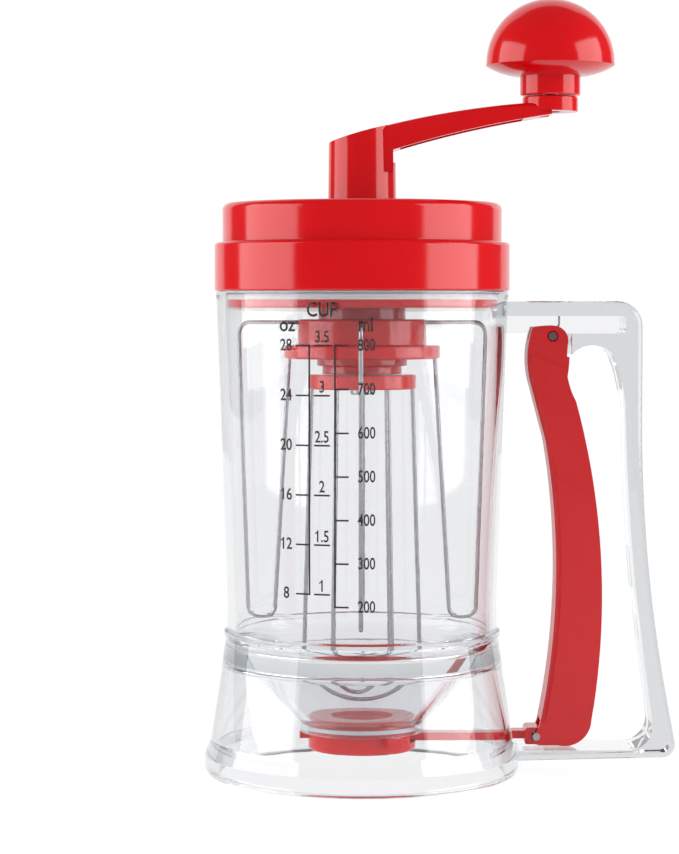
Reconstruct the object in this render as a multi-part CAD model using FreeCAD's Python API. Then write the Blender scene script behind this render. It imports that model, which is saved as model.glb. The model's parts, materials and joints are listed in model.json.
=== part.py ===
# Pancake batter dispenser: clear measuring jar with a grip, a squeeze trigger that slides
# a gate under the funnel, and a lid whose crank turns two whisks against each other.
# Millimetres. Origin on the floor under the jar's axis, +Z up, +X towards the grip.
import FreeCAD
import Part

import math
import os

V = FreeCAD.Vector
UP = V(0, 0, 1)
ORIGIN = V(0, 0, 0)

# Clearances
run_gap = 0.08
slide_gap = 0.15
part_gap = 0.3
seal_gap = 0.25
socket_gap = 0.05

# Jar
jar_wall = 2.8
jar_shoulder_z = 182.0
jar_top_r = 55.0
jar_middle_r = 52.9
jar_low_r = 50.9
barrel_low_z = 64.0
neck_height = 14.0
neck_inner_r = 51.4
neck_wall = 1.8
waist_z = 53.5
waist_r = 51.5
bead_height = 3.0
bead_step = 0.7
skirt_r = 57.2
skirt_flare_z = 13.0
foot_r = 59.5
foot_height = 7.5
foot_round = 3.0
skirt_wall = 2.6

# Funnel and outlet collar
funnel_wall = 3.2
funnel_blend_r = 8.0
collar_r = 23.4
collar_wall = 2.9
collar_z = 16.35
collar_height = 3.8

# Valve
valve_bottom_z = 9.5
valve_top_z = 23.3
valve_mouth_r = 11.75
outlet_r = 8.0
spout_wall = 2.6
cup_groove_depth = 2.4
lug_reach = 3.2
lug_width = 6.0
lug_height = 2.4
lug_angles = (60.0, 180.0, 300.0)
seal_ring_height = 1.5
seal_ring_depth = 1.2

# Gate and its link to the trigger
gate_z = 12.9
gate_thickness = 3.0
gate_cover = 1.5
bar_width = 7.0
eye_width = 11.8
eye_height = 6.4
eye_length = 8.6
link_pin_r = 1.4
link_stand = 8.5
link_z = 14.3
trigger_angle = 6.8

# Handle
handle_width = 24.0
handle_web = 3.0
handle_round = 3.0
handle_top_z = 178.4
handle_flange = 5.6
handle_bar_z = 166.2
handle_stand = 47.6
handle_base_top_z = 9.8
handle_base_thickness = 4.6
handle_foot_stand = 60.2
handle_corner_r = 9.5
handle_bend_z = 81.3
handle_bend_run = 52.2
handle_foot_r = 5.0
handle_base_rise = 1.6
handle_rail = 6.3
pocket_round = 2.0
block_reach = 6.9
lug_r = 5.5

# Trigger
pivot_stand = 14.1
pivot_z = 165.2
pivot_r = 1.5
trigger_width = 17.2
trigger_head_step = 0.5
trigger_cheek = 2.2
trigger_web = 2.4
trigger_edge_round = 2.0
trigger_foot_z = 11.1
stop_rib_step = 6.3
stop_rib_low_z = 148.5
stop_rib_high_z = 157.4
pin_recess = 0.7
spring_wire_r = 0.4
spring_coil_r = 3.3
spring_turns = 2.25
spring_pitch = 1.25
spring_arm = 6.0
spring_bend = 1.3

# Lid
lid_gap = 0.2
band_r = 55.5
band_height = 18.0
band_wall = 2.0
crown_r = 52.5
crown_height = 15.0
crown_round = 2.6
lid_wall = 2.5
plug_depth = 6.0
plug_lip_height = 3.0
plug_wall = 2.6
plug_lip_gap = 0.5
seal_height = 2.6
seal_depth = 1.7
spigot_height = 7.5
bush_r = 6.0
bush_flange_r = 9.0
bush_flange_height = 1.2
bush_length = 12.0

# Gear train
gear_module = 1.1
sun_teeth = 12
planet_teeth = 12
ring_teeth = sun_teeth + 2 * planet_teeth
planet_count = 3
pressure_angle = math.radians(25.0)
addendum = 0.8 * gear_module
dedendum = 1.0 * gear_module
backlash = 0.12
gear_height = 4.4
ring_back = 3.3
shaft_r = 3.0
planet_pin_r = 2.0

# Carrier, drum and whisk plates
neck_drop = 4.0
drum_height = 10.0
drum_lip = 2.6
carrier_neck_r = 16.4
carrier_flange_r = 19.0
carrier_flange_height = 1.8
carrier_spigot_r = 10.0
carrier_nut_r = 14.0
carrier_nut_height = 3.0
plate_r = 29.4
plate_height = 5.0
plate_step_r = 17.0
plate_step_height = 2.7
plate_neck_r = 15.0
plate_neck_height = 3.0
hub_r = 20.4
hub_height = 5.4
screw_head_r = 4.5
screw_head_height = 2.2
screw_r = 1.5
screw_length = 8.0

# Whisk wires
wire_r = 0.8
wing_count = 4
wing_turn = 1.0
wing_top_r = 46.85
wing_low_r = 43.2
wing_inner_low_r = 33.2
wing_inner_top_r = 27.5
wing_low_z = 58.6
wing_corner_r = 4.5
wing_socket = 4.6
leg_socket = 3.6
loop_count = 3
loop_top_r = 18.9
loop_low_r = 21.9
loop_spring_z = 47.0
loop_low_z = 29.4
loop_step = 3.0
loop_socket = 3.8

# Crank and knob
column_r = 12.8
column_top_r = 12.4
column_height = 23.0
arm_reach = 70.6
arm_rise = 37.2
arm_half_width = 10.0
arm_end_half_width = 9.0
arm_wall = 2.5
arm_edge_round = 2.0
arm_end_r = 10.4
arm_end_height = 39.6
arm_end_thickness = 5.6
arm_lower_drop = 6.6
shaft_grip = 20.0
spindle_r = 4.0
spindle_head_r = 5.8
spindle_head_height = 1.8
collar_knob_r = 11.3
collar_knob_height = 7.3
knob_r = 24.1
knob_dish = 4.9
knob_wall = 2.2
knob_hub_r = 8.0
knob_hub_height = 8.0
knob_lip = 2.4

# Places beside the jar that follow from its skirt
pivot_x = skirt_r + pivot_stand
link_x = skirt_r + link_stand
handle_reach = skirt_r + handle_stand
handle_foot_reach = skirt_r + handle_foot_stand
pocket_end_x = handle_reach - handle_rail
block_x = pivot_x + block_reach
stop_rib_reach = pivot_x + stop_rib_step

# Heights that follow from the sizes above
lid_low_z = jar_shoulder_z + lid_gap
lid_step_z = lid_low_z + band_height
lid_top_z = lid_step_z + crown_height - lid_gap
neck_top_z = jar_shoulder_z + neck_height
plug_z = jar_shoulder_z - plug_depth
seal_z = plug_z + plug_lip_height
drum_top_z = plug_z - neck_drop
drum_low_z = drum_top_z - drum_height
plate_low_z = drum_low_z - plate_height
plate_end_z = plate_low_z - plate_step_height - plate_neck_height
hub_top_z = plate_end_z - part_gap
hub_low_z = hub_top_z - hub_height
carrier_flange_z = drum_top_z - drum_lip - part_gap
gear_top_z = carrier_flange_z - carrier_flange_height - part_gap
gear_low_z = gear_top_z - gear_height
column_z = lid_top_z + part_gap
arm_z = column_z
knob_z = arm_z + arm_end_height + part_gap
knob_rim_z = knob_z + collar_knob_height + knob_dish
valve_split_z = gate_z + gate_thickness + slide_gap
bore_r = collar_r - collar_wall
valve_r = bore_r - slide_gap
sun_r = gear_module * sun_teeth / 2
planet_r = gear_module * planet_teeth / 2
ring_r = gear_module * ring_teeth / 2
planet_orbit = sun_r + planet_r
drum_r = ring_r + dedendum + ring_back


def at(x, z, y=0.0):
    return V(x, y, z)


# Closed outline in the XZ plane whose corners carry their own rounding radius
def rounded_outline(corners):
    return Part.Face(Part.Wire(rounded_edges(corners, True)))


# Straight runs joined by tangent arcs, through corners given as (x, z) or (x, z, radius)
def rounded_edges(corners, closed=False):
    points = [at(c[0], c[1]) for c in corners]
    radii = [c[2] if len(c) > 2 else 0.0 for c in corners]
    count = len(points)
    starts = list(points)
    ends = list(points)
    arcs = [None] * count
    for i in range(count):
        if radii[i] == 0.0:
            continue
        before = (points[i - 1] - points[i]).normalize()
        after = (points[(i + 1) % count] - points[i]).normalize()
        half = before.getAngle(after) / 2
        reach = radii[i] / math.tan(half)
        inward = (before + after).normalize()
        centre = points[i] + inward * (radii[i] / math.sin(half))
        starts[i] = points[i] + before * reach
        ends[i] = points[i] + after * reach
        arcs[i] = Part.Arc(starts[i], centre - inward * radii[i], ends[i]).toShape()
    edges = []
    for i in range(count):
        if arcs[i]:
            edges.append(arcs[i])
        last = i == count - 1
        if last and not closed:
            break
        run_end = starts[(i + 1) % count]
        if (run_end - ends[i]).Length > 1e-6:
            edges.append(Part.makeLine(ends[i], run_end))
    return edges


# Edges in the XZ plane: each step is a line to (x, z) or an arc through (mx, mz) to (x, z)
def curved_edges(start, steps):
    here = at(*start)
    edges = []
    for step in steps:
        there = at(*step[-2:])
        if len(step) == 4:
            edges.append(Part.Arc(here, at(step[0], step[1]), there).toShape())
        else:
            edges.append(Part.makeLine(here, there))
        here = there
    return edges


def curved_outline(start, steps):
    edges = curved_edges(start, steps)
    here = at(*steps[-1][-2:])
    if (here - at(*start)).Length > 1e-6:
        edges.append(Part.makeLine(here, at(*start)))
    return Part.Face(Part.Wire(edges))


def turned(corners):
    return rounded_outline(corners).revolve(ORIGIN, UP, 360)


def slab(face, low_y, high_y):
    moved = face.copy()
    moved.translate(V(0, low_y, 0))
    return moved.extrude(V(0, high_y - low_y, 0))


def disc(radius, low_z, high_z, x=0.0, y=0.0):
    return Part.makeCylinder(radius, high_z - low_z, V(x, y, low_z), UP)


def ring(outer, inner, low_z, high_z):
    return disc(outer, low_z, high_z).cut(disc(inner, low_z, high_z))


def cross_rod(radius, x, z, low_y, high_y):
    return Part.makeCylinder(radius, high_y - low_y, V(x, low_y, z), V(0, 1, 0))


def block(low_x, high_x, low_y, high_y, low_z, high_z):
    size = (high_x - low_x, high_y - low_y, high_z - low_z)
    return Part.makeBox(*size, V(low_x, low_y, low_z))


def spun(shape, degrees):
    copy = shape.copy()
    copy.rotate(ORIGIN, UP, degrees)
    return copy


def round_wire(edges, radius):
    path = Part.Wire(edges)
    start = path.Edges[0].valueAt(path.Edges[0].FirstParameter)
    along = path.Edges[0].tangentAt(path.Edges[0].FirstParameter)
    section = Part.Wire(Part.Circle(start, along, radius).toShape())
    return path.makePipeShell([section], True, False)


def rounded(shape, radius, picks):
    return shape.makeFillet(radius, [e for e in shape.Edges if picks(e)])


# Jar
def jar_outside():
    corners = [
        (0, 0),
        (foot_r, 0, foot_round),
        (foot_r, foot_height, 1.0),
        (skirt_r, skirt_flare_z, 5.0),
        (waist_r, waist_z - bead_height / 2),
        (waist_r + bead_step, waist_z - bead_height / 4, 0.4),
        (waist_r + bead_step, waist_z + bead_height / 4, 0.4),
        (waist_r - bead_step / 2, waist_z + bead_height / 2),
        (jar_low_r, barrel_low_z, 30.0),
        (jar_middle_r, (jar_shoulder_z + barrel_low_z) / 2, 300.0),
        (jar_top_r, jar_shoulder_z - 3.0),
        (band_r - 0.2, jar_shoulder_z, 0.6),
        (neck_inner_r + neck_wall, jar_shoulder_z, 0.2),
        (neck_inner_r + neck_wall, neck_top_z, 0.6),
        (0, neck_top_z),
    ]
    return turned(corners)


# The 45 degree funnel runs from the barrel's wall down to the outlet bore
def jar_cavity():
    low_inner_r = jar_low_r - jar_wall
    funnel_low_z = collar_z + collar_height + funnel_wall / 2
    funnel_high_z = funnel_low_z + (low_inner_r - bore_r)
    corners = [
        (0, collar_z),
        (bore_r, collar_z),
        (bore_r, funnel_low_z, 1.0),
        (low_inner_r, funnel_high_z, funnel_blend_r),
        (low_inner_r, barrel_low_z),
        (jar_middle_r - jar_wall, (jar_shoulder_z + barrel_low_z) / 2, 300.0),
        (neck_inner_r, plug_z - 4.0, 20.0),
        (neck_inner_r, neck_top_z),
        (0, neck_top_z),
    ]
    return turned(corners)


def skirt_hollow():
    low_inner_r = jar_low_r - jar_wall
    funnel_low_z = collar_z + collar_height + funnel_wall / 2
    under_shift = funnel_low_z - bore_r - funnel_wall * math.sqrt(2)
    wall_r = waist_r - skirt_wall
    corners = [
        (0, 0),
        (foot_r - foot_round - 2.0, 0),
        (skirt_r - skirt_wall, skirt_flare_z),
        (wall_r, wall_r + under_shift, 3.0),
        (collar_r, collar_r + under_shift, 0.8),
        (collar_r, collar_z, 0.3),
        (0, collar_z),
    ]
    return turned(corners)


def gate_window():
    half = bar_width / 2 + part_gap + slide_gap
    low = gate_z - part_gap - slide_gap
    high = gate_z + gate_thickness + part_gap + slide_gap
    return block(collar_r + 5.0, foot_r + 1.0, -half, half, low, high)


def jar_body():
    body = jar_outside().cut(jar_cavity()).cut(skirt_hollow())
    return body.cut(gate_window())


# Handle: one arched frame, with a thin web where the trigger's cheeks straddle it
def handle_inside_r():
    return waist_r - 5.0


def handle_outer_edges():
    base_low = handle_base_top_z - handle_base_thickness
    foot_x = handle_foot_reach + 1.4
    foot_z = base_low + handle_base_rise
    lean = math.atan2(abs(foot_x - handle_reach), handle_bend_z - foot_z)
    bend_r = handle_bend_run / math.tan(lean / 2)
    return rounded_edges([
        (handle_inside_r(), handle_top_z),
        (handle_reach, handle_top_z, handle_corner_r),
        (handle_reach, handle_bend_z, bend_r),
        (foot_x, foot_z, handle_foot_r),
        (handle_inside_r(), base_low),
    ])


def handle_outline():
    reach = handle_reach
    foot = handle_foot_reach
    base_top = handle_base_top_z
    bend_z = handle_bend_z
    bar_z = handle_bar_z
    inside_r = handle_inside_r()
    inner = curved_edges((inside_r, base_top - handle_base_thickness), [
        (inside_r, base_top),
        (foot - 16.0, base_top),
        (foot - 10.8, base_top + 3.0, foot - 8.4, base_top + 9.8),
        (reach - 2.2, bend_z - 13.1),
        (reach - 5.2, bend_z + 23.7, reach - 6.6, bar_z - 26.6),
        (reach - 8.4, bar_z - 16.4, reach - 11.2, bar_z - 8.0),
        (block_x + 8.2, bar_z - 4.3, block_x, bar_z - 7.8),
        (pivot_x + lug_r * 0.3, pivot_z - lug_r * 0.954),
        (pivot_x - lug_r * 0.643, pivot_z - lug_r * 0.766, pivot_x - lug_r, pivot_z),
        (pivot_x - lug_r - 1.0, bar_z),
        (inside_r, bar_z),
        (inside_r, handle_top_z),
    ])
    return Part.Face(Part.Wire(handle_outer_edges() + inner))


def handle_pocket(low_y, high_y):
    pocket_top_z = handle_top_z - handle_flange
    high = rounded_outline([
        (waist_r, handle_bar_z),
        (pocket_end_x, handle_bar_z, pocket_round),
        (pocket_end_x, pocket_top_z, pocket_round),
        (waist_r, pocket_top_z),
    ])
    low = rounded_outline([
        (waist_r, pivot_z - 2 * lug_r),
        (block_x, pivot_z - 2 * lug_r),
        (block_x, pocket_top_z),
        (waist_r, pocket_top_z),
    ])
    return slab(high, low_y, high_y).fuse(slab(low, low_y, high_y))


def outer_handle_edge(edge):
    box = edge.BoundBox
    on_side = abs(abs(box.YMin) - handle_width / 2) < 1e-3 and box.YLength < 1e-3
    middle = edge.valueAt((edge.FirstParameter + edge.LastParameter) / 2)
    path = Part.Wire(handle_outer_edges())
    return on_side and Part.Vertex(middle.x, 0, middle.z).distToShape(path)[0] < 1e-3


def jar_handle():
    half = handle_width / 2
    web = handle_web / 2
    frame = slab(handle_outline(), -half, half)
    frame = rounded(frame, handle_round, outer_handle_edge)
    frame = frame.cut(handle_pocket(web, half + 1)).cut(handle_pocket(-half - 1, -web))
    boss_end = trigger_width / 2 - trigger_head_step - trigger_cheek - part_gap
    frame = frame.fuse(cross_rod(lug_r - 1.5, pivot_x, pivot_z, web - 0.5, boss_end))
    frame = frame.cut(cross_rod(pivot_r, pivot_x, pivot_z, -half, half))
    return frame.cut(jar_outside()).removeSplitter()


def trigger_pin():
    half = trigger_width / 2 - trigger_head_step
    return cross_rod(pivot_r, pivot_x, pivot_z, -half, half)


# Return spring: coils round the pivot beside the web. One hooked end pushes the trigger's
# web towards the jar, and the other bears on the underside of the handle's top.
def spring_point(turn):
    angle = math.pi * (1 - 2 * turn)
    around = V(math.cos(angle), 0, math.sin(angle)) * spring_coil_r
    first_y = -handle_web / 2 - part_gap - spring_wire_r
    return around + V(pivot_x, first_y - turn * spring_pitch, pivot_z)


def spring_direction(turn):
    angle = math.pi * (1 - 2 * turn)
    speed = 2 * math.pi * spring_coil_r
    return V(math.sin(angle) * speed, -spring_pitch, -math.cos(angle) * speed).normalize()


def tangent_arc_middle(start, along, end):
    chord = end - start
    normal = (chord - along * chord.dot(along)).normalize()
    centre = start + normal * (chord.dot(chord) / (2 * chord.dot(normal)))
    half_way = ((start - centre) + (end - centre)).normalize()
    return centre + half_way * (start - centre).Length


# Two tangent arcs that leave start along one direction and reach end along the other
def two_arcs(start, along, end, onward):
    span = end - start
    a = 2 * (along.dot(onward) - 1)
    b = -2 * span.dot(along + onward)
    c = span.dot(span)
    reach = (-b - math.sqrt(b * b - 4 * a * c)) / (2 * a)
    joint = (start + along * reach + end - onward * reach) * 0.5
    first = Part.Arc(start, tangent_arc_middle(start, along, joint), joint)
    second = Part.Arc(joint, tangent_arc_middle(end, onward * -1.0, joint), end)
    return [first.toShape(), second.toShape()]


# A hooked end: a straight run from the coil, a bend and a tip along the given direction
def hooked_end(start, along, run, bend, tip, tip_along):
    corner = start + along * (run + bend)
    bend_start = start + along * run
    bend_end = corner + tip_along * bend
    centre = bend_start + tip_along * bend
    middle = centre + ((bend_start - centre) + (bend_end - centre)).normalize() * bend
    return [
        Part.makeLine(start, bend_start),
        Part.Arc(bend_start, middle, bend_end).toShape(),
        Part.makeLine(bend_end, bend_end + tip_along * tip),
    ]


def spring_edges():
    quarters = round(spring_turns * 4)
    edges = []
    for i in range(quarters):
        here = i / 4
        there = (i + 1) / 4
        along = spring_direction(here)
        onward = spring_direction(there)
        edges += two_arcs(spring_point(here), along, spring_point(there), onward)
    start = spring_point(0)
    finish = spring_point(quarters / 4)
    web_x = trigger_web_x(start.z - spring_arm - spring_bend)
    flange_z = handle_top_z - handle_flange
    tip = start.x - web_x - spring_bend - socket_gap
    low = hooked_end(start, spring_direction(0) * -1.0, spring_arm, spring_bend, tip, V(-1, 0, 0))
    rise = flange_z - finish.z - spring_bend - socket_gap
    high = hooked_end(finish, spring_direction(quarters / 4), spring_bend, spring_bend, rise, V(0, 0, 1))
    return low[::-1] + edges + high


def trigger_spring():
    return round_wire(spring_edges(), spring_wire_r)


def least_gap(edges, near):
    points = []
    for edge in edges:
        steps = 12
        for i in range(steps):
            where = edge.FirstParameter + (edge.LastParameter - edge.FirstParameter) * i / steps
            points.append((len(points), edge.valueAt(where)))
    gaps = [(p - q).Length for i, p in points for j, q in points if j - i > near]
    return min(gaps) - 2 * spring_wire_r


# Trigger: a U-shaped lever with its web towards the jar
def trigger_outline():
    foot = trigger_foot_z
    middle_z = (pivot_z + link_z) / 2
    return curved_outline((pivot_x - 7.5, pivot_z + 3.4), [
        (pivot_x, pivot_z + 4.0),
        (pivot_x + 4.1, pivot_z + 2.4, pivot_x + 5.6, pivot_z - 3.3),
        (pivot_x + 5.2, pivot_z - 10.2),
        (pivot_x + 6.1, pivot_z - 17.6, pivot_x + 8.8, pivot_z - 24.4),
        (pivot_x + 18.8, middle_z - 17.75, link_x + 20.7, link_z + 6.2),
        (link_x + 17.5, foot + 2.4, link_x + 8.1, foot),
        (link_x + 1.5, foot),
        (link_x - 0.4, foot + 0.7, link_x - 1.2, foot + 2.4),
        (link_x + 1.2, link_z + 4.3),
        (link_x + 7.2, middle_z - 11.75, link_x + 3.0, middle_z + 36.45),
        (pivot_x - 8.0, pivot_z - 18.7),
        (pivot_x - 9.5, pivot_z - 7.8, pivot_x - 7.5, pivot_z + 3.4),
    ])


# Where the web's inner face crosses a height
def trigger_web_x(height):
    line = Part.makeLine(at(0, height), at(handle_reach, height))
    inside = line.cut(trigger_hollow())
    return min(abs(v.X) for v in inside.Vertexes if v.X > 1.0)


def trigger_hollow():
    head_x = pivot_x + trigger_web
    foot_x = link_x + trigger_web
    middle_z = (pivot_z + link_z) / 2
    face = curved_outline((head_x - 7.5, handle_top_z), [
        (head_x - 7.5, pivot_z + 3.4),
        (head_x - 9.5, pivot_z - 7.8, head_x - 8.0, pivot_z - 18.7),
        (foot_x + 3.0, middle_z + 36.45),
        (foot_x + 7.2, middle_z - 11.75, foot_x + 1.2, link_z + 6.2),
        (link_x - 5.7, link_z + 5.3),
        (link_x - 5.7, 0.0),
        (handle_reach, 0.0),
        (handle_reach, handle_top_z),
    ])
    half = trigger_width / 2 - trigger_head_step - trigger_cheek
    return slab(face, -half, half)


# The finger part between two slanted creases stands a little prouder than head and foot
def trigger_grip_part():
    half = trigger_width / 2
    middle = rounded_outline([
        (pivot_x - 16.3, pivot_z - 3.6),
        (pivot_x + 13.7, pivot_z - 15.3),
        (link_x + 29.3, link_z + 13.7),
        (link_x - 5.7, link_z + 3.3),
    ])
    return slab(trigger_outline(), -half, half).common(slab(middle, -half, half))


def trigger_front_edge(edge):
    box = edge.BoundBox
    half = trigger_width / 2
    on_side = box.YLength < 1e-3 and abs(abs(box.YMin) - half) < 1e-3
    middle = edge.valueAt((edge.FirstParameter + edge.LastParameter) / 2)
    return on_side and middle.x < pivot_x + 2.7 and box.ZLength > 15.0


def trigger_lever():
    half = trigger_width / 2
    head_half = half - trigger_head_step
    grip = rounded(trigger_grip_part(), trigger_edge_round, trigger_front_edge)
    body = slab(trigger_outline(), -head_half, head_half).fuse(grip)
    body = body.cut(trigger_hollow())
    rib_x = pivot_x + 2.7
    rib = curved_outline((rib_x, stop_rib_low_z), [
        (stop_rib_reach - 1.0, stop_rib_low_z),
        (stop_rib_reach - 0.3, (stop_rib_low_z + stop_rib_high_z) / 2, stop_rib_reach, stop_rib_high_z),
        (rib_x, stop_rib_high_z),
    ])
    body = body.fuse(slab(rib, -head_half, head_half))
    web_slot = handle_web / 2 + part_gap * 2
    body = body.cut(block(pivot_x - 11.3, pivot_x - 4.3, -web_slot, web_slot, pivot_z - 1.2, handle_top_z))
    body = body.cut(cross_rod(pivot_r + run_gap, pivot_x, pivot_z, -half, half))
    body = body.cut(cross_rod(link_pin_r, link_x, link_z, -half, half))
    hole_r = pivot_r + run_gap
    for side in (-1, 1):
        rim = V(pivot_x, side * head_half, pivot_z)
        body = body.cut(Part.makeCone(hole_r + pin_recess, hole_r, pin_recess, rim, V(0, -side, 0)))
    return body.removeSplitter()


def link_pin():
    half = trigger_width / 2 - trigger_head_step
    return cross_rod(link_pin_r, link_x, link_z, -half, half)


# Valve under the funnel: an upper seat and a lower cup with the gate between them
def valve_seat():
    groove_z = collar_z + collar_height / 2
    shape = turned([
        (0, valve_split_z),
        (valve_r, valve_split_z),
        (valve_r, groove_z - seal_ring_height / 2),
        (valve_r - seal_ring_depth, groove_z - seal_ring_height / 2),
        (valve_r - seal_ring_depth, groove_z + seal_ring_height / 2),
        (valve_r, groove_z + seal_ring_height / 2),
        (valve_r, valve_top_z, 1.2),
        (0, valve_top_z),
    ])
    throat = turned([
        (0, valve_split_z),
        (outlet_r, valve_split_z),
        (outlet_r, valve_split_z + 1.0, 1.0),
        (valve_mouth_r, valve_top_z - 2.0, 1.0),
        (valve_mouth_r, valve_top_z),
        (0, valve_top_z),
    ])
    return shape.cut(throat)


def valve_seal():
    groove_z = collar_z + collar_height / 2
    inner = valve_r - seal_ring_depth
    outer = bore_r - socket_gap
    return ring(outer, inner, groove_z - seal_ring_height / 2, groove_z + seal_ring_height / 2)


def valve_cup():
    shape = turned([
        (0, valve_bottom_z),
        (valve_r, valve_bottom_z, 1.2),
        (valve_r, valve_split_z),
        (0, valve_split_z),
    ])
    half = lug_width / 2
    lug_z = valve_split_z - lug_height
    lug = block(valve_r - 1.0, valve_r + lug_reach, -half, half, lug_z, valve_split_z)
    for angle in lug_angles:
        shape = shape.fuse(spun(lug, angle))
    groove_z = valve_bottom_z + cup_groove_depth
    shape = shape.cut(ring(valve_r - spout_wall, outlet_r + spout_wall, valve_bottom_z, groove_z))
    shape = shape.cut(disc(outlet_r, valve_bottom_z, valve_split_z))
    return shape.cut(gate_channel()).removeSplitter()


def gate_half_width():
    return outlet_r + gate_cover


def gate_channel():
    half = gate_half_width() + slide_gap
    length = valve_r + lug_reach + 1.0
    channel = block(0, length, -half, half, gate_z - slide_gap, valve_split_z)
    return channel.fuse(disc(half, gate_z - slide_gap, valve_split_z))


# Gate: a round-nosed knife plate, its bar and the slotted eye that the trigger's pin drives
def gate_slide():
    half = gate_half_width()
    top_z = gate_z + gate_thickness
    shape = disc(half, gate_z, top_z).fuse(block(0, half, -half, half, gate_z, top_z))
    shape = shape.fuse(block(0, link_x, -bar_width / 2, bar_width / 2, gate_z, top_z))
    eye = rounded_outline([
        (link_x - eye_length / 2, link_z - eye_height / 2, 1.0),
        (link_x + eye_length / 2, link_z - eye_height / 2, 1.6),
        (link_x + eye_length / 2, link_z + eye_height / 2, 1.6),
        (link_x - eye_length / 2, link_z + eye_height / 2, 1.6),
    ])
    shape = shape.fuse(slab(eye, -eye_width / 2, eye_width / 2))
    return shape.cut(link_slot()).removeSplitter()


# The link pin rises and dips on its arc, so the eye's slot is higher than the pin
def link_slot():
    side = link_pin_r + slide_gap
    lever = V(link_x - pivot_x, 0, link_z - pivot_z)
    angle = math.radians(trigger_angle)
    rise = lever.x * math.sin(angle) + lever.z * math.cos(angle) - lever.z
    dip = lever.Length - abs(lever.z)
    low = link_z - dip - side
    high = link_z + rise + side
    return block(link_x - side, link_x + side, -eye_width, eye_width, low, high)


# Lid
def lid_cover():
    shape = turned([
        (0, lid_low_z),
        (band_r, lid_low_z, 0.6),
        (band_r, lid_step_z, 1.2),
        (crown_r, lid_step_z, 0.6),
        (crown_r, lid_top_z, crown_round),
        (0, lid_top_z),
    ])
    ceiling_z = lid_step_z - lid_wall
    shape = shape.cut(disc(band_r - band_wall, lid_low_z, ceiling_z))
    shape = shape.cut(disc(crown_r - lid_wall, ceiling_z, lid_top_z - lid_wall))
    shape = shape.fuse(disc(bush_r + lid_wall, lid_top_z - bush_length, lid_top_z - lid_wall))
    shape = shape.cut(disc(bush_r, lid_low_z, lid_top_z))
    return shape.cut(disc(bush_flange_r, lid_top_z - bush_flange_height, lid_top_z))


def lid_base():
    wall_r = neck_inner_r - plug_lip_gap - part_gap
    spigot_r = crown_r - lid_wall - part_gap
    inner_r = wall_r - seal_depth - plug_wall / 2
    ceiling_z = lid_step_z - lid_wall
    seal_top_z = seal_z + seal_height
    shape = turned([
        (0, plug_z),
        (neck_inner_r - plug_lip_gap, plug_z, 0.8),
        (neck_inner_r - plug_lip_gap, seal_z),
        (wall_r - seal_depth, seal_z),
        (wall_r - seal_depth, seal_top_z),
        (wall_r, seal_top_z),
        (wall_r, ceiling_z),
        (spigot_r, ceiling_z),
        (spigot_r, ceiling_z + spigot_height, 0.5),
        (inner_r, ceiling_z + spigot_height),
        (inner_r, seal_z, 2.0),
        (0, seal_z),
    ])
    return shape.cut(disc(carrier_spigot_r + socket_gap, plug_z, seal_z))


def lid_seal():
    inner = neck_inner_r - plug_lip_gap - part_gap - seal_depth
    outer = neck_inner_r - seal_gap
    valley = outer - 0.45
    low = seal_z
    high = seal_z + seal_height
    quarter = seal_height / 4
    return turned([
        (inner, low),
        (valley, low),
        (outer, low + quarter, 0.25),
        (valley, low + 2 * quarter),
        (outer, low + 3 * quarter, 0.25),
        (valley, high),
        (inner, high),
    ])


def lid_bush():
    shape = ring(bush_r, shaft_r + run_gap, lid_top_z - bush_length, lid_top_z)
    low = lid_top_z - bush_flange_height
    return shape.fuse(ring(bush_flange_r, shaft_r + run_gap, low, lid_top_z)).removeSplitter()


# Carrier that hangs the planets and the drum from the lid
def gear_carrier():
    low = carrier_flange_z - carrier_flange_height
    shape = turned([
        (0, low),
        (carrier_flange_r, low, 0.4),
        (carrier_flange_r, carrier_flange_z, 0.4),
        (carrier_neck_r, carrier_flange_z),
        (carrier_neck_r, plug_z),
        (carrier_spigot_r, plug_z),
        (carrier_spigot_r, seal_z + carrier_nut_height, 0.5),
        (0, seal_z + carrier_nut_height),
    ])
    shape = shape.cut(disc(shaft_r + run_gap, low, seal_z + carrier_nut_height))
    for i in range(planet_count):
        shape = shape.cut(spun(planet_pin_solid(), 360.0 / planet_count * i))
    return shape


def planet_pin_solid():
    return disc(planet_pin_r, gear_low_z, carrier_flange_z + drum_lip, planet_orbit)


def carrier_nut():
    corners = [spun_point(carrier_nut_r, 60.0 * i, seal_z) for i in range(7)]
    prism = Part.Face(Part.makePolygon(corners)).extrude(V(0, 0, carrier_nut_height))
    return prism.cut(disc(carrier_spigot_r, seal_z, seal_z + carrier_nut_height))


def spun_point(radius, degrees, z):
    angle = math.radians(degrees)
    return V(radius * math.cos(angle), radius * math.sin(angle), z)


# Gears
def involute(angle):
    return math.tan(angle) - angle


# Half the angle that a tooth covers at a radius, from its thickness at the pitch circle
def half_tooth(teeth, radius, thinning):
    pitch = gear_module * teeth / 2
    base = pitch * math.cos(pressure_angle)
    at_pitch = (math.pi * gear_module / 2 - thinning) / (2 * pitch)
    opening = math.acos(min(1.0, base / radius))
    return at_pitch + involute(pressure_angle) - involute(opening)


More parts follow.
